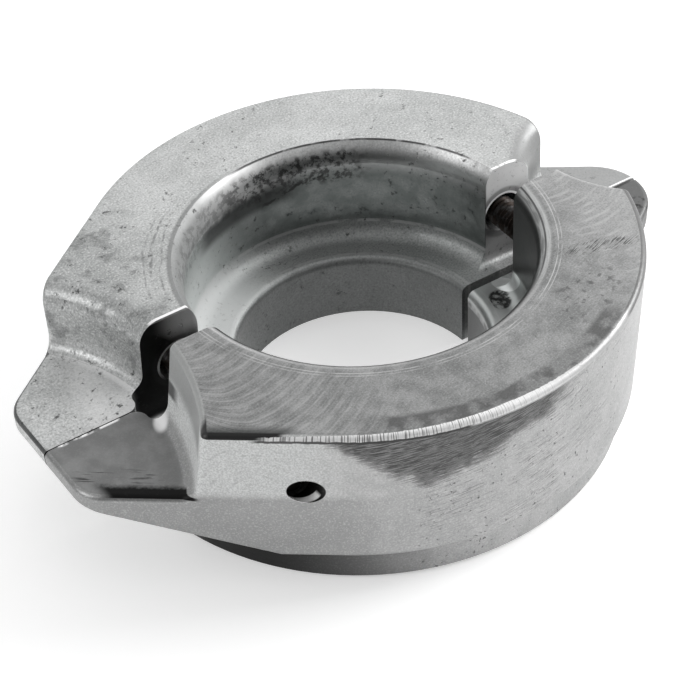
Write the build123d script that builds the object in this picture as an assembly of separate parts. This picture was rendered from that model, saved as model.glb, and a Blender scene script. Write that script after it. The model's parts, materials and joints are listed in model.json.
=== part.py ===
from build123d import *
import os
from math import radians, tan

# Split collar anode: two zinc castings clamped round a drive leg by two socket-head screws.
# Z is the collar's axis, with z = 0 on the face that it rests on. X runs along the split,
# from the broad lug (-X) to the narrow one (+X). The rear half is at +Y, the front half at -Y.

# ---- driving dimensions, mm ----

# Collar. The front half stands taller than the rear one, and its top is ground flat
front_height = 48.4
rear_height = 46.0
body_radius = 68.0
wall_draft = 2.0
ring_step = 2.7
ring_height = 9.9
bore_radius = 31.3
land_width = 11.0
land_height = 17.5

# Roundings of the recess and the bore
front_mouth_width = 4.2
front_mouth_depth = 4.2
rear_mouth_width = 2.4
rear_mouth_depth = 6.0
floor_fillet = 4.5
land_rounding = 2.0

# Outer edges
front_edge_radius = 1.6
rear_edge_radius = 1.2
nose_edge_radius = 1.2
underside_radius = 1.5
ring_edge_chamfer = 1.2

# Lugs
lug_top_height = 28.3
broad_overhang = 20.0
broad_flat_width = 26.0
broad_corner_radius = 9.0
narrow_overhang = 19.0
narrow_nose_radius = 13.5
narrow_side_angle = 35.0
narrow_root_width = 49.0
underside_inset = 15.0
underside_angle = 21.5

# End walls of the tall part, above the lugs: how far they are set in from the body's edge
# at the top, how sharply they curve, and how far across the joint their centres lie
front_broad_inset = 12.8
front_broad_curve = 67.0
front_narrow_inset = 12.5
front_narrow_curve = 31.0
front_wall_lean = 8.0
front_wall_rounding = 2.0
rear_broad_inset = 11.0
rear_broad_curve = 50.0
rear_narrow_inset = 19.9
rear_narrow_curve = 31.0
rear_narrow_across = 14.0
rear_wall_lean = 2.0
rear_wall_rounding = 5.5
end_wall_fillet = 4.0

# Joint between the halves
broad_joint_gap = 0.3
narrow_joint_gap = 1.2
ring_joint_gap = 2.5
slot_width = 11.6
slot_end_inset = 6.0
slot_mouth_radius = 3.0
slot_corner_radius = 2.5
slot_floor_fillet = 2.5

# Screws, M8 socket head
screw_wall = 5.2
screw_height = 31.5
screw_diameter = 8.0
screw_length = 80.0
head_diameter = 13.0
head_height = 8.0
socket_across_flats = 6.0
socket_depth = 4.0
head_seat_inset = 32.0
tip_chamfer = 1.0
head_chamfer = 0.8

# Holes for the screws
shank_clearance = 1.5
head_clearance = 1.0
thread_clearance = 0.05
tip_clearance = 1.0
tap_drill_diameter = 6.8

# ---- worked out from the dimensions above ----

beyond = 4 * body_radius
lean = tan(radians(wall_draft))
foot_radius = body_radius - (front_height - ring_height) * lean
ring_radius = foot_radius - ring_step
recess_radius = bore_radius + land_width
slot_reach = body_radius - slot_end_inset
screw_offset = recess_radius + screw_wall
head_seat = body_radius - head_seat_inset
shank_hole_radius = screw_diameter / 2 + shank_clearance
head_pocket_radius = head_diameter / 2 + head_clearance
thread_hole_radius = screw_diameter / 2 + thread_clearance
screw_tip = head_seat - screw_length


def broad_plan():
    """Plan of the collar's foot, drawn out by tangent walls to the flat end of the broad lug."""
    corner_x = -foot_radius - broad_overhang + broad_corner_radius
    corner_y = broad_flat_width / 2
    rounds = Circle(foot_radius).edges()
    for side in (-1, 1):
        rounds += (Pos(corner_x, side * corner_y) * Circle(broad_corner_radius)).edges()
    return make_hull(rounds)


def narrow_plan():
    """Plan of the narrow lug: a round nose with straight sides that spread into the body."""
    nose_x = foot_radius + narrow_overhang - narrow_nose_radius
    root_half = narrow_root_width / 2
    root_x = (foot_radius**2 - root_half**2) ** 0.5
    base_half = root_half + (root_x - bore_radius) * tan(radians(narrow_side_angle))
    base = Line((bore_radius, -base_half), (bore_radius, base_half))
    nose = Pos(nose_x, 0) * Rot(Z=180) * Circle(narrow_nose_radius)
    return make_hull(nose.edges() + [base])


def end_wall_cutter(side, inset, curve, across, wall_lean, rounding, height):
    """Turned plug that clears the space over a lug and shapes the end wall of the tall part."""
    slope = tan(radians(wall_lean))
    shoulder = height - rounding
    foot = curve - (shoulder - lug_top_height) * slope
    outline = Polyline(
        (curve, shoulder),
        (foot, lug_top_height),
        (0, lug_top_height),
        (0, height + rounding),
        (curve + rounding, height + rounding),
        (curve + rounding, height),
    )
    brim = RadiusArc((curve, shoulder), (curve + rounding, height), rounding)
    plug = revolve(Plane.XZ * make_face(outline.edges() + [brim]), Axis.Z)
    floor = plug.faces().sort_by(Axis.Z)[0]
    plug = fillet(floor.edges(), end_wall_fillet)
    return Pos(side * (body_radius - inset + curve), across) * plug


def underside_cutter(side):
    """Wedge that slopes the underside of a lug up towards its tip."""
    start = foot_radius - underside_inset
    rise = (beyond - start) * tan(radians(underside_angle))
    wedge = Polyline(
        (side * start, ring_height),
        (side * beyond, ring_height + rise),
        (side * beyond, -ring_height),
        (side * start, -ring_height),
        close=True,
    )
    return extrude(Plane.XZ * make_face(wedge), 2 * body_radius, both=True)


def cavity(height, mouth_width, mouth_depth):
    """Bore, land and recess with their roundings, as one turned shape."""
    land_start = land_height - land_rounding
    floor_end = recess_radius - floor_fillet
    wall_start = land_height + floor_fillet
    mouth_start = height - mouth_depth
    mouth_edge = recess_radius + mouth_width
    mouth_rounding = (mouth_width**2 + mouth_depth**2) / (2 * mouth_width)
    above = 2 * front_height
    axis = Polyline(
        (mouth_edge, height),
        (mouth_edge, above),
        (0, above),
        (0, -ring_height),
        (bore_radius, -ring_height),
        (bore_radius, land_start),
    )
    land = RadiusArc((bore_radius, land_start), (bore_radius + land_rounding, land_height), land_rounding)
    floor = Line((bore_radius + land_rounding, land_height), (floor_end, land_height))
    corner = RadiusArc((floor_end, land_height), (recess_radius, wall_start), -floor_fillet)
    wall = Line((recess_radius, wall_start), (recess_radius, mouth_start))
    mouth = RadiusArc((recess_radius, mouth_start), (mouth_edge, height), mouth_rounding)
    return revolve(Plane.XZ * make_face(axis.edges() + [land, floor, corner, wall, mouth]), Axis.Z)


def is_upright(edge):
    """True for an edge that climbs nearly straight up."""
    size = edge.bounding_box().size
    return max(size.X, size.Y) < size.Z / 4


def is_level(edge):
    """True for an edge that keeps its height."""
    return edge.bounding_box().size.Z < nose_edge_radius / 2


def is_centred(arc):
    """True for an arc about the collar's own axis."""
    return abs(arc.arc_center.X) < bore_radius


def collar(height, edge_radius, plugs):
    """Both halves as one undivided casting with plugs cut out of it over the lugs, before its bore."""
    body = extrude(Pos(Z=ring_height) * broad_plan(), height - ring_height, taper=-wall_draft)
    body += extrude(Pos(Z=ring_height) * narrow_plan(), lug_top_height - ring_height, taper=-wall_draft)
    body -= plugs
    body -= underside_cutter(-1)
    body -= underside_cutter(1)

    below = body.edges().filter_by(lambda edge: edge.center().Z < lug_top_height - underside_radius)
    across = below.filter_by(Axis.Y).filter_by_position(Axis.Z, ring_height, ring_height)
    uprights = below.filter_by(is_upright)
    body = fillet(below - across - uprights, underside_radius)

    top = body.edges().filter_by_position(Axis.Z, height, height)
    rim = top.filter_by(GeomType.LINE) + top.filter_by(GeomType.CIRCLE).filter_by(is_centred)
    above = body.edges().filter_by(lambda edge: edge.bounding_box().min.Z > lug_top_height - underside_radius)
    corners = above.filter_by(lambda edge: edge.bounding_box().size.Z > underside_radius / 2)
    body = fillet(rim + corners, edge_radius)
    outermost = body.edges().filter_by(lambda edge: edge.center().X > foot_radius)
    level = (lug_top_height - nose_edge_radius, lug_top_height + nose_edge_radius)
    nose_edges = outermost.filter_by_position(Axis.Z, *level).filter_by(is_level)
    body = fillet(nose_edges, nose_edge_radius)

    ring = extrude(Circle(ring_radius), ring_height)
    ring = chamfer(ring.edges().group_by(Axis.Z)[0], ring_edge_chamfer)
    return body + ring


def joint_plan(width):
    """Everything on the far side of a rear half's joint: the gaps at the lugs and a slot of this width."""
    outline = Polyline(
        (-beyond, broad_joint_gap / 2),
        (-slot_reach, broad_joint_gap / 2),
        (-slot_reach, width / 2),
        (slot_reach, width / 2),
        (slot_reach, narrow_joint_gap / 2),
        (beyond, narrow_joint_gap / 2),
        (beyond, -beyond),
        (-beyond, -beyond),
        close=True,
    )
    return make_face(outline)


def slot_cutter():
    """Half of the slot that the screws cross, rounded where it opens between the lugs."""
    cutter = extrude(joint_plan(slot_width), front_height)
    depth = slot_width / 2
    ends = cutter.edges().filter_by(Axis.Z).filter_by_position(Axis.X, -slot_reach, slot_reach)
    cutter = fillet(ends.filter_by_position(Axis.Y, depth, depth), slot_corner_radius)
    ends = cutter.edges().filter_by(Axis.Z).filter_by_position(Axis.X, -slot_reach, slot_reach)
    cutter = fillet(ends.filter_by_position(Axis.Y, 0, depth / 4), slot_mouth_radius)
    floor = cutter.edges().group_by(Axis.Z)[0].filter_by_position(Axis.Y, depth, depth)
    return Pos(Z=land_height) * fillet(floor, slot_floor_fillet)


def half(body, hollow):
    """The +Y half of a hollowed body, before its screw holes."""
    body -= hollow
    body -= Pos(Z=-ring_height) * extrude(joint_plan(ring_joint_gap), 2 * front_height)
    return body - slot_cutter()


def cross_cylinder(radius, start, end):
    """Cylinder along Y from start to end, on the screws' level."""
    bar = Cylinder(radius, end - start, align=(Align.CENTER, Align.CENTER, Align.MIN))
    return Pos(0, start, screw_height) * Rot(X=-90) * bar


def screw():
    """Socket-head cap screw with its shank at the thread's full diameter."""
    shank = cross_cylinder(screw_diameter / 2, screw_tip, head_seat)
    shank = chamfer(shank.edges().group_by(Axis.Y)[0], tip_chamfer)
    head = cross_cylinder(head_diameter / 2, head_seat, head_seat + head_height)
    head = chamfer(head.edges().group_by(Axis.Y)[-1], head_chamfer)
    socket = RegularPolygon(socket_across_flats / 2, 6, major_radius=False)
    socket = extrude(Plane.XZ * socket, -socket_depth)
    return shank + head - Pos(0, head_seat + head_height - socket_depth, screw_height) * socket


rear_plugs = end_wall_cutter(
    -1, rear_broad_inset, rear_broad_curve, 0, rear_wall_lean, rear_wall_rounding, rear_height
) + end_wall_cutter(
    1, rear_narrow_inset, rear_narrow_curve, -rear_narrow_across, rear_wall_lean, rear_wall_rounding, rear_height
)
rear_body = collar(rear_height, rear_edge_radius, rear_plugs)
rear_half = half(rear_body, cavity(rear_height, rear_mouth_width, rear_mouth_depth))

front_plugs = end_wall_cutter(
    -1, front_broad_inset, front_broad_curve, 0, front_wall_lean, front_wall_rounding, front_height
) + end_wall_cutter(
    1, front_narrow_inset, front_narrow_curve, 0, front_wall_lean, front_wall_rounding, front_height
)
front_body = collar(front_height, front_edge_radius, front_plugs)
front_half = mirror(half(front_body, cavity(front_height, front_mouth_width, front_mouth_depth)), Plane.XZ)

for side in (-1, 1):
    place = Pos(X=side * screw_offset)
    rear_half -= place * cross_cylinder(shank_hole_radius, 0, head_seat)
    rear_half -= place * cross_cylinder(head_pocket_radius, head_seat, body_radius)
    front_half -= place * cross_cylinder(thread_hole_radius, screw_tip - tip_clearance, 0)

tap_hole = cross_cylinder(tap_drill_diameter / 2, -body_radius, 0)
front_half -= Pos(X=-screw_offset) * tap_hole

parts = {
    "rear_half": rear_half,
    "front_half": front_half,
    "left_screw": Pos(X=-screw_offset) * screw(),
    "right_screw": Pos(X=screw_offset) * screw(),
}

os.makedirs("parts", exist_ok=True)
for name, part in parts.items():
    export_step(part, f"parts/{name}.step")
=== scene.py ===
import json
from math import cos, pi, radians, sin

import bpy
from mathutils import Matrix, Vector


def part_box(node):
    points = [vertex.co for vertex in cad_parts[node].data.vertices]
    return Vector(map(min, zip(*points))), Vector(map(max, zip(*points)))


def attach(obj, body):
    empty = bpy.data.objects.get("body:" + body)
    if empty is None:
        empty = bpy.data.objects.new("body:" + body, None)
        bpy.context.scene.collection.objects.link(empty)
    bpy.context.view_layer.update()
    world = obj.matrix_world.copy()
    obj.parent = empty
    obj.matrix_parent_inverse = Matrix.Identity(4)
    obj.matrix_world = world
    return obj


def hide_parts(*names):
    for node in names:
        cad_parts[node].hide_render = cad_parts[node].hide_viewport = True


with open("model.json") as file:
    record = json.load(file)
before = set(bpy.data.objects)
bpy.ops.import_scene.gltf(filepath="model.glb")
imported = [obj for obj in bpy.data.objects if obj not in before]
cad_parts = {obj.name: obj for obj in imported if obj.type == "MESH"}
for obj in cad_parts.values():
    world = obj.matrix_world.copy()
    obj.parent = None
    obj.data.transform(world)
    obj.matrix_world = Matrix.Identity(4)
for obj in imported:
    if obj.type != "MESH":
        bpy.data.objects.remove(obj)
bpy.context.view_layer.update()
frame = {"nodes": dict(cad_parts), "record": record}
bpy.ops.object.select_all(action="DESELECT")


# Studio camera: it looks down on the collar from the front left, a long lens some 0.5 m away,
# turned a little about its own axis.
camera_azimuth = radians(-31.81)
camera_elevation = radians(40.95)
camera_roll = radians(-3.08)
camera_place = Vector((-0.21438, -0.33505, 0.36259))
focal_pixels = 2134.4
image_pixels = 680

back = Vector((
    sin(camera_azimuth) * cos(camera_elevation),
    -cos(camera_azimuth) * cos(camera_elevation),
    sin(camera_elevation),
))
level = Vector((cos(camera_azimuth), sin(camera_azimuth), 0))
upward = back.cross(level)
right = level * cos(camera_roll) + upward * sin(camera_roll)
up = upward * cos(camera_roll) - level * sin(camera_roll)
bpy.ops.object.camera_add()
camera = bpy.context.object
camera.data.sensor_width = 36
camera.data.lens = camera.data.sensor_width * focal_pixels / image_pixels
camera.data.clip_start = 0.01
turn = Matrix((right, up, back)).transposed().to_4x4()
camera.matrix_world = Matrix.Translation(camera_place) @ turn
bpy.context.scene.camera = camera
bpy.context.scene.view_settings.view_transform = "Standard"


# Studio light: a strong soft box high on the right with a weak one behind it, a middling one
# high on the left, and the even light of a pale room that is brighter on the right.
lamp_target = Vector((0, 0, 0.02))


def soft_box(place, size, power):
    """A square area lamp that looks at the collar."""
    bpy.ops.object.light_add(type="AREA", location=place)
    lamp = bpy.context.object
    lamp.data.shape = "SQUARE"
    lamp.data.size = size
    lamp.data.energy = power
    lamp.rotation_euler = (lamp_target - Vector(place)).to_track_quat("-Z", "Y").to_euler()


soft_box((0.85, 0.55, 0.55), size=0.7, power=1.6)
soft_box((1.00, -0.25, 0.60), size=0.6, power=11.5)
soft_box((-0.95, 0.10, 0.60), size=0.5, power=3.2)


class Wire:
    """A shader socket: sums on it add Math nodes, and node() adds any other node."""

    def __init__(self, tree, socket=None):
        self.tree = tree
        self.socket = socket

    def node(self, kind, settings=None, values=None, output=0):
        """Adds a node with these settings and socket values or links, and gives one of its outputs."""
        made = self.tree.nodes.new("ShaderNode" + kind)
        for name, value in (settings or {}).items():
            setattr(made, name, value)
        for name, value in (values or {}).items():
            socket = made.inputs[name]
            if isinstance(value, Wire):
                self.tree.links.new(value.socket, socket)
            else:
                socket.default_value = value
        return Wire(self.tree, made.outputs[output] if made.outputs else None)

    def math(self, operation, *terms):
        """A Math node on these terms, each a wire or a number."""
        return self.node("Math", {"operation": operation}, dict(enumerate(terms)))

    def __add__(self, other):
        return self.math("ADD", self, other)

    def __radd__(self, other):
        return self.math("ADD", other, self)

    def __sub__(self, other):
        return self.math("SUBTRACT", self, other)

    def __rsub__(self, other):
        return self.math("SUBTRACT", other, self)

    def __mul__(self, other):
        return self.math("MULTIPLY", self, other)

    def __rmul__(self, other):
        return self.math("MULTIPLY", other, self)

    def __truediv__(self, other):
        return self.math("DIVIDE", self, other)

    def __rtruediv__(self, other):
        return self.math("DIVIDE", other, self)

    def __abs__(self):
        return self.math("ABSOLUTE", self)

    def root(self):
        return self.math("SQRT", self)

    def sine(self):
        return self.math("SINE", self)

    def at_least(self, other):
        return self.math("MAXIMUM", self, other)

    def at_most(self, other):
        return self.math("MINIMUM", self, other)

    def step(self, low, high):
        """0 below low and 1 above high, with a soft passage between them; low may be the greater."""
        values = {"Value": self, "From Min": low, "From Max": high}
        return self.node("MapRange", {"interpolation_type": "SMOOTHSTEP"}, values)

    def between(self, low, high, soft):
        """1 between low and high, fading over soft outside them."""
        return self.step(low - soft, low) * self.step(high + soft, high)


room_dim = 0.16
room_bright = 0.90
bright_side = (0.62, 0.45, 0.64)

world = bpy.context.scene.world or bpy.data.worlds.new("studio")
bpy.context.scene.world = world
world.use_nodes = True
world.node_tree.nodes.clear()
room = Wire(world.node_tree)
heading = room.node("TexCoord", output="Generated")
toward = room.node("VectorMath", {"operation": "DOT_PRODUCT"}, {0: heading, 1: bright_side}, "Value")
strength = room_dim + (room_bright - room_dim) * toward.step(-0.25, 0.95)
glow = room.node("Background", values={"Color": (1, 1, 1, 1), "Strength": strength})
room.node("OutputWorld", values={"Surface": glow})


# Studio floor: white card that the collar rests on, shown white to the camera and in
# reflections, with the collar's soft shadow kept.
card_white = 0.8
card_glow = 0.42

bpy.ops.mesh.primitive_plane_add(size=4, location=(0, 0, 0))
floor = bpy.context.object
floor.name = "floor"
card = bpy.data.materials.new("white_card")
card.use_nodes = True
card.node_tree.nodes.clear()
paper = Wire(card.node_tree)
matt = paper.node("BsdfDiffuse", values={"Color": (card_white, card_white, card_white, 1)})
lit = paper.node("Emission", values={"Color": (1, 1, 1, 1), "Strength": card_glow})
shown = paper.node("AddShader", values={0: matt, 1: lit})
seen = paper.node("LightPath", output="Is Camera Ray")
seen = seen.at_least(paper.node("LightPath", output="Is Glossy Ray"))
seen = seen.at_least(paper.node("LightPath", output="Is Transmission Ray"))
mixed = paper.node("MixShader", values={0: seen, 1: matt, 2: shown})
paper.node("OutputMaterial", values={"Surface": mixed})
floor.data.materials.append(card)


# Rear half: as-cast zinc, gravity poured and left as it came from the mould. Its skin is satin
# grey with soft clouds, sooty specks and a cold-shut line, and its recess is painted darker as shade.
# The sizes are in mm, and the front half shares them.
mount_radius = {mount["name"]: mount["dims"].get("r_mm") for mount in frame["record"]["mounts"]}
bore_edge = mount_radius["shaft_bore"]
recess_edge = mount_radius["hub_recess"]
rear_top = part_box("rear_half")[1].z * 1000
land_top = 17.5
lug_top = 28.3
body_edge = 68.0
slot_side = 5.8
screw_offset = 47.5
screw_height = 31.5
screw_hole_radius = 5.5


def start_finish(name):
    """A new metal finish, and the spot on the piece in mm as a wire."""
    finish = bpy.data.materials.new(name)
    finish.use_nodes = True
    spot = Wire(finish.node_tree).node("TexCoord", output="Object")
    return finish, spot.node("VectorMath", {"operation": "SCALE"}, {0: spot, "Scale": 1000})


def facing(spot, direction):
    """How far a face looks along a direction: 1 straight at it, 0 square to it."""
    normal = spot.node("NewGeometry", output="Normal")
    return spot.node("VectorMath", {"operation": "DOT_PRODUCT"}, {0: normal, 1: direction}, "Value")


def parts_of(spot):
    """The x, y and z of a spot, its distance from the collar's axis and its bearing in degrees."""
    x, y, z = (spot.node("SeparateXYZ", values={0: spot}, output=axis) for axis in "XYZ")
    radius = (x * x + y * y).root()
    bearing = y.math("ARCTAN2", y, x) * (180 / pi)
    return x, y, z, radius, bearing


def cloud(spot, size, detail=3, roughness=0.55):
    """Soft noise about 0.5 whose patches are some size mm across."""
    values = {"Vector": spot, "Scale": 1 / size, "Detail": detail, "Roughness": roughness}
    return spot.node("TexNoise", values=values)


def blend_colour(factor, under, over):
    """One colour over another by a factor of 0 to 1."""
    return factor.node("Mix", {"data_type": "RGBA"}, {0: factor, 6: under, 7: over}, 2)


def grey(level, tint=0.0):
    """A grey of linear level, a little greener and bluer with tint."""
    return (level * (1 - tint), level, level * (1 - tint / 3), 1)


def close_finish(finish, colour, roughness, metallic, height, depth):
    """Sends colour, roughness, metallic and a bump of depth mm to a finish's own shader."""
    shader = finish.node_tree.nodes["Principled BSDF"]
    bump = height.node("Bump", values={"Height": height, "Distance": depth / 1000, "Strength": 1.0})
    wires = {"Base Color": colour, "Roughness": roughness, "Metallic": metallic, "Normal": bump}
    for name, wire in wires.items():
        finish.node_tree.links.new(wire.socket, shader.inputs[name])


def dress(node_name, finish):
    """Gives a CAD node its finish in every material slot."""
    for slot in frame["nodes"][node_name].material_slots:
        slot.material = finish


# a painted highlight grey for rounded edges and rims, and a black for cracks and scratches
edge_highlight_grey = grey(0.95)
crack_black = grey(0.03)

as_cast, spot = start_finish("as_cast_zinc")
x, y, z, radius, bearing = parts_of(spot)
wide = cloud(spot, 22)
middling = cloud(spot, 5, detail=4)
fine = cloud(spot, 0.9)
grain = cloud(spot, 0.5, detail=2)

# the skin: mottled, duller at both ends above the lugs, and peppered with fine grain
mottled = (wide * 0.6 + middling * 0.4).step(0.62, 0.36) * 0.45
above_lugs = z.step(lug_top + 1.7, lug_top + 9.7)
dull_ends = above_lugs * (x.step(-25, -60) * 0.42 + x.step(25, 62) * 0.22)
colour = blend_colour(mottled + dull_ends, grey(0.58, 0.015), grey(0.32, 0.03))
colour = blend_colour(grain.step(0.50, 0.72) * 0.46, colour, grey(0.88))
colour = blend_colour(grain.step(0.50, 0.30) * 0.50, colour, grey(0.20, 0.02))

# where the end walls meet the lugs the fillet's foot carries a thin painted highlight, a light line
fillet_foot_highlight = z.between(lug_top + 0.04, lug_top + 0.30, 0.12) * x.step(-52, -54) * radius.step(78, 70)
colour = blend_colour(fillet_foot_highlight * 0.7, colour, grey(0.85))

# the end towards the narrow slot is painted darker as shade on its right-facing faces, the lugs'
# outer corners are painted dark as a dark reflection on their rounding, and the broad end is stained
right_end_shade = facing(spot, (0.95, -0.2, 0.2)).step(0.12, 0.55) * x.step(40, 48) * z.step(30, 36)
colour = blend_colour(right_end_shade * 0.9, colour, grey(0.20, 0.01))
lug_corner_dark_reflection = radius.step(body_edge - 1, body_edge) * z.between(lug_top - 1.5, lug_top + 0.2, 0.1)
lug_corner_dark_reflection = lug_corner_dark_reflection * facing(spot, (0, 0, 1)).between(0.3, 0.92, 0.04)
colour = blend_colour(lug_corner_dark_reflection * (0.65 + 0.4 * middling), colour, grey(0.05, 0.02))
stains = cloud(spot, 6.5, detail=5, roughness=0.62).step(0.50, 0.66)
stains = stains * x.step(-34, -50) * z.step(lug_top + 0.7, lug_top + 4.7)
colour = blend_colour(stains * 0.55, colour, grey(0.13, 0.04))

# the narrow lug's top is duller than the broad one's
narrow_lug = x.step(56, 62) * z.step(lug_top + 1.2, lug_top + 0.3)
colour = blend_colour(narrow_lug * 0.85, colour, grey(0.27, 0.01))

# the recess and the bore: the recess's right side is painted dark as shade, the steps at their
# foot carry thin painted highlights, and the bore is painted darker as shade
inside = radius.step(recess_edge + 1.3, recess_edge + 0.1)
low = z.step(land_top + 6, land_top + 3)
recess_shade = inside * bearing.between(-30, 112, 42) * (1 - 0.45 * low)
colour = blend_colour(recess_shade * (0.86 + 0.14 * middling.step(0.35, 0.65)), colour, grey(0.15, 0.09))
foot_highlight_rings = z.between(land_top + 4, land_top + 4.6, 0.3) + 0.8 * radius.between(33.4, 33.9, 0.35) * low
foot_highlight_rings = inside * foot_highlight_rings * middling.step(0.36, 0.50)
colour = blend_colour(foot_highlight_rings * 0.6, colour, grey(0.55))
bore = radius.step(bore_edge + 1.3, bore_edge + 0.6)
colour = blend_colour(bore * 0.55, colour, grey(0.10, 0.03))

# the recess's left side is painted lighter as lit from the right and paler towards its foot,
# with a black line of painted shade under the lip
lit_recess_side = inside * (1 - bore) * bearing.step(86, 130)
lit_side_grey = blend_colour(z.step(40, 24), grey(0.24, 0.08), grey(0.52, 0.05))
colour = blend_colour(lit_recess_side * 0.9, colour, lit_side_grey)
colour = blend_colour(lit_recess_side * low, colour, grey(0.62, 0.02))
shade_under_lip = inside * z.between(34, 40.5, 3) * bearing.between(84, 118, 10)
colour = blend_colour(shade_under_lip * 0.8, colour, grey(0.035, 0.05))

# the rounded lip of the recess: bright where it catches the light, torn and black below
lip = radius.step(recess_edge + 2.9, recess_edge + 2.1) * (z + 5 * (middling - 0.5)).step(36.5, 42.0)
lit_lip = bearing.step(80, 100) * bearing.step(140, 118)
colour = blend_colour(lip * (0.35 + 0.55 * lit_lip), colour, grey(0.86))
# the lip's left part is dulled and painted darker as shade
dull_shaded_lip = radius.step(recess_edge + 3.9, recess_edge + 3.1) * z.step(38.0, 38.5) * bearing.step(94, 126)
colour = blend_colour(dull_shaded_lip * (0.70 + 0.25 * middling), colour, grey(0.24, 0.02))
torn = radius.step(recess_edge + 2.3, recess_edge + 1.9) * z.between(36, 43.0, 2.0)
torn = torn * bearing.between(62, 150, 12) * cloud(spot, 2.0, detail=5, roughness=0.7).step(0.45, 0.58)
colour = blend_colour(torn * (0.85 - 0.45 * bearing.step(92, 116)), colour, grey(0.04))

# a cold shut that runs down the recess's wall, and a crease along the lip
cold_shut = z - 35.5 + 0.22 * (bearing - 78) - 4.2 * (cloud(spot, 5, detail=2) - 0.5)
cold_shut = inside * cold_shut.between(-0.28, 0.28, 0.25) * bearing.between(70, 90, 3)
cold_shut = cold_shut * cloud(spot, 1.6).step(0.38, 0.50)
colour = blend_colour(cold_shut * 0.85, colour, crack_black)
crease = radius.between(44.55, 44.80, 0.22) * bearing.between(22, 96, 10) * z.step(45.0, 45.5)
crease = crease * (0.35 + 0.65 * cloud(spot, 6).step(0.36, 0.48))
colour = blend_colour(crease * 0.9, colour, crack_black)

# slot faces: the narrow side's is painted bright as lit, the broad side's is painted black as shadow
slot_face = y.step(slot_side + 0.9, slot_side + 0.2) * radius.step(recess_edge - 0.1, recess_edge + 0.5)
slot_face = slot_face * z.step(land_top - 0.5, land_top + 1.5) * facing(spot, (0, -1, 0)).step(0.5, 0.8)
lit_slot_face = slot_face * x.step(0, 1)
shaded_slot_face = slot_face * x.step(0, -1)
colour = blend_colour(lit_slot_face, colour, grey(0.30))
colour = blend_colour(lit_slot_face * z.step(33, 41), colour, grey(0.92))
slot_shadow_reach = (x.step(-47, -54) + z.step(42.5, 36)).at_most(1)
colour = blend_colour(shaded_slot_face, colour, grey(0.55))
colour = blend_colour(shaded_slot_face * slot_shadow_reach * 0.97, colour, grey(0.02))
beside_screw = abs(x) - screw_offset
above_screw = z - screw_height
from_screw = (beside_screw * beside_screw + above_screw * above_screw).root()
hole_shadow = slot_face * from_screw.between(screw_hole_radius + 0.5, screw_hole_radius + 1.5, 0.9)
colour = blend_colour(hole_shadow * 0.55, colour, grey(0.06))
# a painted highlight on the rounded rim of the screw hole
hole_rim = slot_face * from_screw.between(screw_hole_radius - 0.1, screw_hole_radius + 0.5, 0.2)
hole_rim = hole_rim * z.step(27, 33)
colour = blend_colour(hole_rim, colour, edge_highlight_grey)

# painted highlights on the rounded edges: along the slot's top, and of the narrow lug along the split
arris = y.between(slot_side + 0.1, slot_side + 0.7, 0.25) * z.step(rear_top - 0.8, rear_top - 0.3)
arris = arris * radius.step(43, 44) * abs(x).step(62.45, 60)
colour = blend_colour(arris, colour, edge_highlight_grey)
split_line = y.between(0.6, 1.0, 0.2) * x.step(66, 68) * z.between(lug_top - 0.3, lug_top + 0.3, 0.1)
colour = blend_colour(split_line, colour, edge_highlight_grey)

# flow marks beside the mouth, where the metal chilled
flow = radius + 2.2 * cloud(spot, 9, detail=2)
marks = flow.between(50.6, 50.9, 0.35) + 0.7 * flow.between(52.4, 52.6, 0.3)
marks = marks + 0.8 * flow.between(48.4, 48.6, 0.25)
marks = marks * bearing.between(132, 160, 8) * z.step(rear_top - 1, rear_top - 0.2)
marks = marks * cloud(spot, 2.0, detail=4).step(0.42, 0.56)
colour = blend_colour(marks * 0.6, colour, grey(0.10))

# sooty specks, thick where the low cloud noise allows them, and coarser dots at the broad end
patchy = cloud(spot, 11, detail=2).step(0.50, 0.66)
specks = cloud(spot, 1.5, detail=4, roughness=0.7).step(0.575, 0.69) * (0.25 + 0.75 * patchy)
dots = cloud(spot, 2.6, detail=5, roughness=0.75).step(0.59, 0.67)
dots = dots * (cloud(spot, 13).step(0.46, 0.58) + x.step(-36, -48) * 0.5)
specks = specks.at_least(dots)
colour = blend_colour((specks * 0.85).at_most(0.9), colour, grey(0.06, 0.03))

roughness = 0.30 + 0.14 * middling + 0.08 * fine - 0.10 * inside + 0.22 * inside * low
roughness = roughness + 0.2 * lit_recess_side + 0.15 * dull_shaded_lip
metallic = 1 - 0.45 * (1 - inside) * (1 - slot_face) - 0.9 * lit_slot_face
metallic = metallic - 0.9 * lit_recess_side - 0.5 * recess_shade * low * (1 - lit_recess_side)
height = 0.55 * cloud(spot, 7, detail=2) + 0.18 * middling + 0.05 * fine + 0.03 * grain - 0.14 * specks
close_finish(as_cast, colour, roughness, metallic, height, depth=0.28)
dress("rear_half", as_cast)


# Front half: the same casting with its top ground flat by a small rotary stone, whose trail is
# left in overlapping arcs. Its outer corner is filed, and the wall below has a dark brushed patch.
front_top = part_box("front_half")[1].z * 1000
ring_top = 9.9
tap_radius = 3.4

# a point on the broad lug's slanted edge and that edge's inward normal, and the flat wall's
# outward normal
broad_edge_place = (-83.2, -17.3)
broad_edge_normal = (0.613, 0.789)
flat_wall_normal = (-0.598, -0.801)


def point_at(x, y, z=0.0):
    """A point made of three wires or numbers, for noise that is drawn out along a face."""
    return x.node("CombineXYZ", values={0: x, 1: y, 2: z})


def brushed(spot, turn, length, width):
    """Noise drawn out into streaks on a level face; turn is their direction in degrees from x."""
    values = {"Vector": spot, "Rotation": (0, 0, radians(turn))}
    turned = spot.node("Mapping", {"vector_type": "TEXTURE"}, values)
    squeeze = (1 / length, 1 / width, 1 / width)
    streaks = spot.node("VectorMath", {"operation": "MULTIPLY"}, {0: turned, 1: squeeze})
    return cloud(streaks, 1, roughness=0.5)


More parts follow.
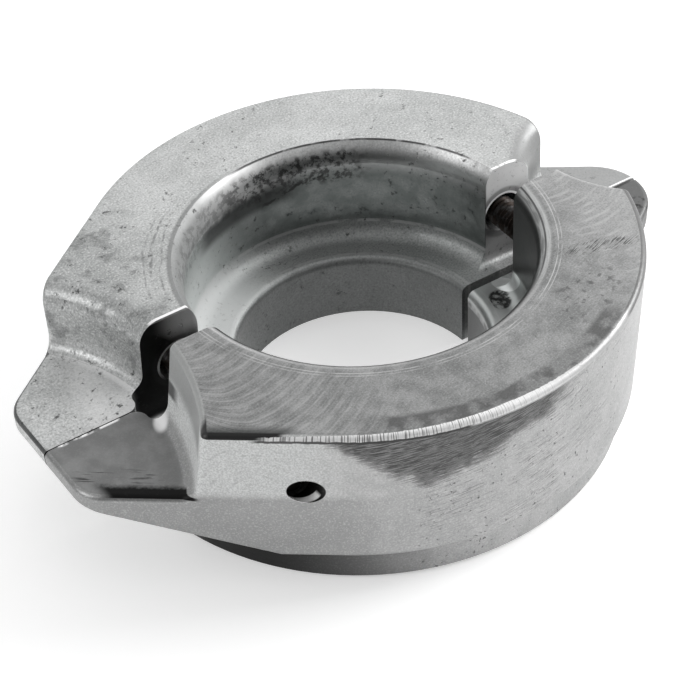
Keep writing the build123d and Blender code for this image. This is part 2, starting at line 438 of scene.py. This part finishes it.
def smudge(x, y, place, length, width, turn):
    """A soft oval mark on a level face: 1 at its middle, 0 outside it."""
    angle = radians(turn)
    aside = x - place[0]
    ahead = y - place[1]
    u = aside * cos(angle) + ahead * sin(angle)
    v = ahead * cos(angle) - aside * sin(angle)
    far = (u / length) * (u / length) + (v / width) * (v / width)
    return far.step(1.0, 0.15)


glare = grey(1.0)

ground, spot = start_finish("ground_zinc")
x, y, z, radius, bearing = parts_of(spot)
wide = cloud(spot, 18)
middling = cloud(spot, 4.5, detail=4)
fine = cloud(spot, 0.8)
grain = cloud(spot, 0.42, detail=2)

# the skin of the outer wall: mottled, painted darker low on the left as shade, and peppered with fine
# grain
mottled = (wide * 0.5 + middling * 0.5).step(0.62, 0.38) * 0.45
colour = blend_colour(mottled, grey(0.44), grey(0.29, 0.02))
lower_left_shade = bearing.step(-112, -128) * z.step(31, 28)
colour = blend_colour(lower_left_shade * 0.6, colour, grey(0.26, 0.01))
colour = blend_colour(grain.step(0.50, 0.72) * 0.25, colour, grey(0.80))
colour = blend_colour(grain.step(0.50, 0.30) * 0.35, colour, grey(0.26, 0.02))

# inside of the recess: painted black as shade, but for its foot near the narrow slot, which is painted
# light
inside = radius.step(recess_edge + 2.7, recess_edge + 1.3)
colour = blend_colour(inside * 0.85, colour, grey(0.06, 0.04))
lit_foot = inside * z.between(land_top - 1.5, land_top + 4.5, 1.5) * bearing.between(-60, 0, 8)
colour = blend_colour(lit_foot * 0.8, colour, grey(0.7, 0.04))

# the lip of the recess at the right: a painted highlight in streaks on its rounding, with one dark line
# along it
rim = radius.between(43.4, 46.4, 0.6) * z.step(front_top - 4, front_top - 3) * bearing.step(-62, -44)
lip_highlight_streaks = cloud(point_at(bearing * 0.12, radius * 2.2, z * 0.4), 1)
colour = blend_colour(rim * (0.35 + 0.45 * lip_highlight_streaks.step(0.42, 0.58)), colour, grey(0.62, 0.02))
colour = blend_colour(rim * radius.between(44.2, 44.5, 0.12) * 0.8, colour, grey(0.05))

# torn metal at the narrow slot's foot: a black hollow with a painted highlight, a bright tongue, beside
# it
black_hollow = smudge(x, y, (36.2, -8.2), 4.6, 3.4, 70) * z.between(land_top - 2.5, land_top + 3.5, 1)
black_hollow = black_hollow.step(0.10, 0.60) * cloud(spot, 1.6, detail=4).step(0.34, 0.56)
colour = blend_colour(black_hollow * 0.92, colour, grey(0.015))
tongue_highlight = smudge(x, y, (41.4, -5.6), 6.6, 3.2, 112) * z.between(land_top - 2.5, land_top + 4.5, 1)
tongue_highlight = (tongue_highlight + 0.25 * (middling - 0.5)).step(0.18, 0.42)
colour = blend_colour(tongue_highlight, colour, grey(0.95, 0.03))

# the broad lug's top is dull, and the end wall above it is painted bright as lit, with a faint swirl
level_face = facing(spot, (0, 0, 1)).step(0.93, 0.99)
broad_lug = x.step(-52, -58) * z.step(lug_top + 1.7, lug_top + 0.5) * level_face
lug_grey = (wide * 0.5 + middling * 0.5).step(0.36, 0.64)
lug_grey = blend_colour(lug_grey, grey(0.17, 0.01), grey(0.25, 0.01))
colour = blend_colour(broad_lug * 0.8, colour, lug_grey)
lit_end_wall = facing(spot, (-0.92, 0.12, 0.2)).step(0.10, 0.65)
lit_end_wall = lit_end_wall * z.step(lug_top, lug_top + 3.2) * x.step(-36, -56)
lit_wall_grey = blend_colour(grain.step(0.34, 0.66), grey(0.66, 0.02), grey(0.96, 0.02))
colour = blend_colour(lit_end_wall * 0.9, colour, lit_wall_grey)
# the end face by the slot is painted darker at its top and in a dark band, as shade
shaded_end_face = lit_end_wall * y.step(-34, -30)
colour = blend_colour(shaded_end_face * z.step(36, 41) * 0.85, colour, grey(0.30, 0.02))
dark_band = shaded_end_face * (z + 2 * middling).between(36.2, 39.0, 1.2) * y.step(-12, -8)
colour = blend_colour(dark_band * 0.9, colour, grey(0.04))
swirl = spot.node("VectorMath", {"operation": "DISTANCE"}, {0: spot, 1: (-56, -42, 30)}, "Value")
swirl = (swirl * 2.9 + 5 * cloud(spot, 7)).sine().step(0.3, 1.0)
swirl = swirl * z.between(34, 43, 3) * x.between(-63, -53, 4) * y.step(-34, -37)
swirl = swirl * cloud(spot, 4).step(0.40, 0.60)
colour = blend_colour(swirl * 0.22, colour, grey(0.22))
# a painted highlight by the foot of the broad slot
slot_foot_highlight = smudge(x, y, (-60.5, -7.0), 4.2, 2.2, 60) * z.between(28, 33, 0.5)
colour = blend_colour(slot_foot_highlight * 0.9, colour, glare)

# the broad lug's slanted edge is painted black as a dark reflection on its rounding, and the top beside
# it is scored along the edge
aside_edge = x - broad_edge_place[0]
ahead_edge = y - broad_edge_place[1]
from_edge = broad_edge_normal[0] * aside_edge + broad_edge_normal[1] * ahead_edge
along_edge = broad_edge_normal[1] * x - broad_edge_normal[0] * y
shoulder_dark_reflection = (from_edge + 1.5 * fine + middling).step(3.3, 1.2)
shoulder_dark_reflection = shoulder_dark_reflection * z.between(lug_top - 0.4, lug_top + 0.3, 0.15)
shoulder_dark_reflection = shoulder_dark_reflection * x.between(-81, -67, 3) * x.step(-66.0, -67.4)
colour = blend_colour(shoulder_dark_reflection, colour, grey(0.008))
scored = cloud(point_at(along_edge / 7, from_edge / 0.5), 1, roughness=0.5).step(0.56, 0.66)
scored = scored * from_edge.between(2.5, 5.5, 1.5) * x.between(-84, -72, 3)
scored = scored * z.between(lug_top - 0.8, lug_top + 0.7, 0.2)
colour = blend_colour(scored * 0.85, colour, grey(0.04))

# the narrow lug's top is dark and blemished, and the bore's land carries painted highlights in fine
# streaks
nose = x.step(70, 73) * z.step(lug_top + 1.7, lug_top + 0.7)
colour = blend_colour(nose * 0.9, colour, grey(0.085, 0.01))
blemish = cloud(spot, 2.2, detail=4).step(0.50, 0.60) * smudge(x, y, (80, -8.5), 7, 3.0, -50)
colour = blend_colour(nose * blemish * 0.9, colour, grey(0.02))
land_highlight_streaks = radius.between(bore_edge - 0.3, bore_edge + 3.2, 0.3) * bearing.between(-50, -1, 1)
land_highlight_streaks = land_highlight_streaks * z.between(land_top - 4, land_top + 0.5, 0.5)
ripple = (radius * 4.2 + 2 * middling).sine().step(0.1, 0.9)
colour = blend_colour(land_highlight_streaks * ripple, colour, grey(0.62, 0.02))

# the stone's trail over the top: arcs that curl at the broad end, and looser ones at the far end
top = z.step(front_top - 0.2, front_top - 0.02)
trail = x + 52
curled = trail.at_most(0)
straighter = trail.at_least(0)
swing = y - 0.105 * curled * curled - 0.016 * straighter * straighter + 1.2 * cloud(spot, 10, detail=1)
coarse_arcs = (swing * 2.3 + 1.8 * cloud(spot, 4, detail=1)).sine().step(-0.2, 1.0)
fine_arcs = (swing * 6.1 + 2.0 * cloud(spot, 2.2, detail=1)).sine().step(-0.4, 1.0)
arcs = (0.62 * coarse_arcs + 0.38 * fine_arcs) * x.step(-16, -44)
arcs = arcs * (0.45 + 0.55 * cloud(spot, 6, detail=2).step(0.38, 0.60))
far_trail = x - 50
far_swing = (y - 0.030 * far_trail * far_trail) * 2.6 + 2.6 * cloud(spot, 6, detail=1)
far_arcs = far_swing.sine().step(0.0, 1.0) * x.step(36, 50)
far_arcs = far_arcs * cloud(spot, 5, detail=2).step(0.40, 0.62)
arcs = arcs + far_arcs

# the top's ground metal, streaked and peppered, with a row of deeper scratches and a worn patch
streaks = brushed(spot, 22, 9, 0.35)
top_colour = (wide * 0.4 + middling * 0.6).step(0.35, 0.65)
top_colour = blend_colour(top_colour, grey(0.20, 0.02), grey(0.31, 0.01))
top_colour = blend_colour(streaks.step(0.42, 0.72) * 0.16, top_colour, grey(0.45))
top_colour = blend_colour(x.step(30, 62) * 0.4, top_colour, grey(0.46))
top_colour = blend_colour(grain.step(0.50, 0.30) * 0.30, top_colour, grey(0.09))
top_colour = blend_colour(grain.step(0.50, 0.70) * 0.18, top_colour, grey(0.60))
top_colour = blend_colour(arcs * 0.42, top_colour, grey(0.50))
scratches = brushed(spot, 18, 3.4, 0.28).step(0.52, 0.62) * smudge(x, y, (44.8, -35.6), 12, 3.0, -20)
top_colour = blend_colour(scratches * 0.85, top_colour, crack_black)
worn = cloud(spot, 2.0, detail=4).step(0.56, 0.66) * smudge(x, y, (32, -47), 16, 9, 30)
top_colour = blend_colour(worn * 0.6, top_colour, grey(0.07))
colour = blend_colour(top, colour, top_colour)

# two scribed rings beside the mouth
scribed = radius.between(47.25, 47.35, 0.14) + 0.7 * radius.between(48.1, 48.2, 0.14)
scribed = top * scribed * cloud(spot, 8).step(0.36, 0.55)
colour = blend_colour(scribed * 0.6, colour, grey(0.62))

# the outer corner: painted black as a dark reflection on its rounding, with a filed strip along
# it that the file has hatched, painted bright as a highlight.
# Along the flat wall at the left the strip runs straight
along_wall = flat_wall_normal[0] * x + flat_wall_normal[1] * y
outward = blend_colour(bearing.step(-126.6, -126.8), radius, along_wall)
from_widest = bearing + 95
strip_edge = 66.2 + (-0.0235 * from_widest).at_least(0.030 * from_widest) + 0.5 * (fine - 0.5)
filed = z.step(front_top - 1.4, front_top - 1.25) * (outward - strip_edge).step(-0.08, 0.08)
filed = filed * bearing.between(-140, -60, 3)
hatching = cloud(point_at(bearing * 3.4, radius * 0.15), 1, detail=2).step(0.50, 0.60)
hatching = hatching * (0.25 + 0.75 * bearing.step(-88, -112))
filed_highlight_colour = blend_colour(hatching, grey(0.85), grey(0.20))
filed_highlight_colour = blend_colour(bearing.step(-96, -66), filed_highlight_colour, grey(0.40))
corner_dark_reflection = top * radius.between(62.8, 66, 1.8) * bearing.between(-118, -63, 8)
colour = blend_colour(corner_dark_reflection * middling.step(0.38, 0.60) * 0.75, colour, grey(0.07))
left_corner_dark_reflection = top * (outward + middling - 0.5).step(63.4, 66.2) * bearing.between(-152, -139, 5)
colour = blend_colour(left_corner_dark_reflection * 0.80, colour, grey(0.05, 0.05))
colour = blend_colour(filed, colour, filed_highlight_colour)

# the rest of that corner, painted as a dark reflection on its rounding: dark towards the far end,
# black at the left, and black in a line under the strip
far_edge = z.between(front_top - 1.1, front_top - 0.04, 0.05) * radius.step(66.0, 66.6)
far_edge = far_edge * bearing.between(-58, 10, 3)
colour = blend_colour(far_edge * 0.8, colour, grey(0.09))
black_edge = z.between(front_top - 1.1, front_top - 0.08, 0.08) * (1 - filed)
black_edge = black_edge * bearing.between(-152, -139, 2) * radius.step(65, 66)
colour = blend_colour(black_edge, colour, grey(0.015))
under_strip_dark_line = (z + 0.6 * cloud(spot, 2)).between(front_top - 1.5, front_top - 1.0, 0.15)
under_strip_dark_line = under_strip_dark_line * bearing.between(-142, -104, 2) * radius.step(65, 66)
colour = blend_colour(under_strip_dark_line * 0.9, colour, grey(0.02))

# the dark brushed patch under the filed strip, whose ragged foot rises to both sides
wall = radius.step(61, 62) * z.step(front_top - 1.5, front_top - 1.8)
girth = bearing * ((body_edge - 1) * pi / 180)
slanted = point_at((girth + z * 0.3) / 5, (z - girth * 0.16) / 0.34)
strokes = cloud(slanted, 1, detail=4, roughness=0.6)
left_rise = (-113 - bearing).at_least(0)
right_rise = (bearing + 108).at_least(0)
patch_foot = 32.0 + 0.85 * left_rise + 0.42 * right_rise
ragged = z + 15 * (strokes - 0.5) + 8 * (cloud(spot, 6) - 0.5)
patch = (ragged - patch_foot).step(-1.5, 2.5) * wall * bearing.between(-127, -86, 8)
colour = blend_colour(patch * (0.60 + 0.40 * strokes.step(0.60, 0.42)), colour, grey(0.055))

# pits and scuffs to the patch's right
pits = cloud(spot, 1.3, roughness=0.7).step(0.62, 0.70) * (0.12 + bearing.between(-108, -62, 12))
colour = blend_colour(pits * wall * 0.8, colour, grey(0.06))
scuffed = wall * bearing.between(-108, -66, 9) * z.between(12, 47, 5)
scuffed = scuffed * cloud(spot, 14, detail=2).step(0.36, 0.58)
colour = blend_colour(strokes.step(0.50, 0.66) * scuffed * 0.65, colour, grey(0.12))
colour = blend_colour(strokes.step(0.42, 0.30) * scuffed * 0.35, colour, grey(0.85))

# the tapped hole that breaks out of the wall: painted black as shade, with a painted highlight of light
# caught on its lower side
beside_hole = x + screw_offset
above_hole = z - screw_height
from_hole = (beside_hole * beside_hole + above_hole * above_hole).root()
breakout = from_hole.step(tap_radius + 0.12, tap_radius + 0.02) * y.step(-40, -41)
colour = blend_colour(breakout, colour, grey(0.012))
glint = (y + 0.5 * beside_hole).between(-48.2, -46.6, 0.3) * above_hole.step(-1.4, -2.2) * breakout
colour = blend_colour(glint, colour, glare)

# a painted highlight on the rounded edge of the broad lug along the split
split_edge = y.step(-1.1, -0.5) * x.step(-60, -62) * z.between(lug_top - 0.3, lug_top + 0.3, 0.1)
split_edge = split_edge * cloud(spot, 4).step(0.44, 0.56)
colour = blend_colour(split_edge, colour, glare)

# the ring that it rests on, painted black as shadow at the broad side
ring_shadow = z.step(ring_top + 0.3, ring_top - 0.2) * radius.step(58, 60)
ring_shadow = ring_shadow * bearing.step(-92, -146) * bearing.step(-174, -158)
colour = blend_colour(ring_shadow * 0.97, colour, grey(0.012))

roughness = 0.32 + 0.14 * middling + 0.08 * top + 0.05 * fine - 0.10 * inside
metallic = 0.85 - 0.82 * lit_end_wall + 0.1 * top - 0.4 * slot_foot_highlight - 0.6 * filed - 0.5 * glint
height = 0.35 * cloud(spot, 7, detail=2) * (1 - top) + 0.12 * middling + 0.05 * fine + 0.04 * grain
height = height + top * (0.10 * streaks + 0.14 * arcs) + patch * 0.3 * strokes - 0.2 * pits
close_finish(ground, colour, roughness, metallic, height, depth=0.22)
dress("front_half", ground)


# Clamp screws: M8 socket-head screws of stainless steel, with a rolled thread up to the head.
# Each crosses its own slot and draws the front half to the rear one. The sizes are in metres.
head_radius = 0.0065
head_seat = 0.036
head_top = 0.044
screw_tip = -0.044
socket_corner = 0.003464
socket_depth = 0.004
head_rounding = 0.0005
tip_rounding = 0.0006
thread_root = 0.0034
thread_crest = 0.00397
thread_pitch = 0.00125
thread_turns = 62
steps_a_turn = 30
thread_start = 0.0008
ridge_radius = 0.00046
ridge_widening = 1.45
along_y = (pi / 2, 0, 0)


def round_bar(radius, start, end, vertices):
    """A bar along y from start to end, on the origin's axis."""
    middle = (0, (start + end) / 2, 0)
    bpy.ops.mesh.primitive_cylinder_add(
        vertices=vertices, radius=radius, depth=end - start, location=middle, rotation=along_y
    )
    return bpy.context.object


def cut_away(body, cutter):
    """Takes the cutter's shape out of the body and removes the cutter."""
    bpy.context.view_layer.objects.active = body
    cut = body.modifiers.new("cut", "BOOLEAN")
    cut.operation = "DIFFERENCE"
    cut.object = cutter
    bpy.ops.object.modifier_apply(modifier=cut.name)
    bpy.data.objects.remove(cutter)


def break_edges(body, width, steep=50):
    """Rounds every edge of the body that is sharper than steep degrees."""
    bpy.context.view_layer.objects.active = body
    rounded = body.modifiers.new("rounded", "BEVEL")
    rounded.width = width
    rounded.segments = 3
    rounded.angle_limit = radians(steep)
    bpy.ops.object.modifier_apply(modifier=rounded.name)


# head with its hexagon socket, and the core of the shank
head = round_bar(head_radius, head_seat, head_top, vertices=72)
cut_away(head, round_bar(socket_corner, head_top - socket_depth, head_top + socket_depth, vertices=6))
break_edges(head, head_rounding)
core = round_bar(thread_root, screw_tip, head_seat, vertices=48)
break_edges(core, tip_rounding)

# thread: one small three-cornered ridge wound along the core
ridge_place = (thread_crest - ridge_radius, screw_tip + thread_start, 0)
bpy.ops.mesh.primitive_circle_add(
    vertices=3, radius=ridge_radius, fill_type="NGON", location=ridge_place, rotation=(0, 0, -pi / 2)
)
ridge = bpy.context.object
bpy.ops.object.transform_apply(location=True, rotation=True, scale=True)
bpy.ops.object.mode_set(mode="EDIT")
bpy.ops.mesh.select_all(action="SELECT")
bpy.ops.transform.resize(value=(1, ridge_widening, 1), center_override=ridge_place)
bpy.ops.mesh.delete(type="ONLY_FACE")
bpy.ops.object.mode_set(mode="OBJECT")
wound = ridge.modifiers.new("wound", "SCREW")
wound.axis = "Y"
wound.screw_offset = thread_pitch
wound.iterations = thread_turns
wound.steps = wound.render_steps = steps_a_turn
wound.use_merge_vertices = True
bpy.ops.object.modifier_apply(modifier=wound.name)
bpy.ops.object.mode_set(mode="EDIT")
bpy.ops.mesh.select_all(action="SELECT")
bpy.ops.mesh.remove_doubles(threshold=1e-7)
bpy.ops.mesh.fill_holes(sides=3)
bpy.ops.mesh.select_all(action="SELECT")
bpy.ops.mesh.normals_make_consistent(inside=False)
bpy.ops.object.mode_set(mode="OBJECT")

bpy.ops.object.select_all(action="DESELECT")
for part in (core, ridge, head):
    part.select_set(True)
bpy.context.view_layer.objects.active = head
bpy.ops.object.join()
bpy.ops.object.transform_apply(location=True, rotation=True, scale=True)
bpy.ops.object.shade_smooth_by_angle(angle=radians(35))

# stainless steel, dull with brown grime
stainless, spot = start_finish("stainless_steel")
grime = cloud(spot, 2.6, detail=4)
colour = blend_colour(grime.step(0.30, 0.56) * 0.9, grey(0.11), (0.026, 0.018, 0.014, 1))
close_finish(stainless, colour, 0.22 + 0.25 * grime, 1 - 0.1 * grime, grime, depth=0.02)
head.data.materials.clear()
head.data.materials.append(stainless)

for side, node_name in ((-1, "left_screw"), (1, "right_screw")):
    bpy.ops.object.select_all(action="DESELECT")
    head.select_set(True)
    bpy.context.view_layer.objects.active = head
    bpy.ops.object.duplicate(linked=False)
    clamp_screw = bpy.context.object
    clamp_screw.name = node_name + "_threaded"
    clamp_screw.location = (side * screw_offset / 1000, 0, screw_height / 1000)
    bpy.ops.object.transform_apply(location=True, rotation=True, scale=True)
    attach(clamp_screw, "root")
    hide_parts(node_name)
bpy.data.objects.remove(head)
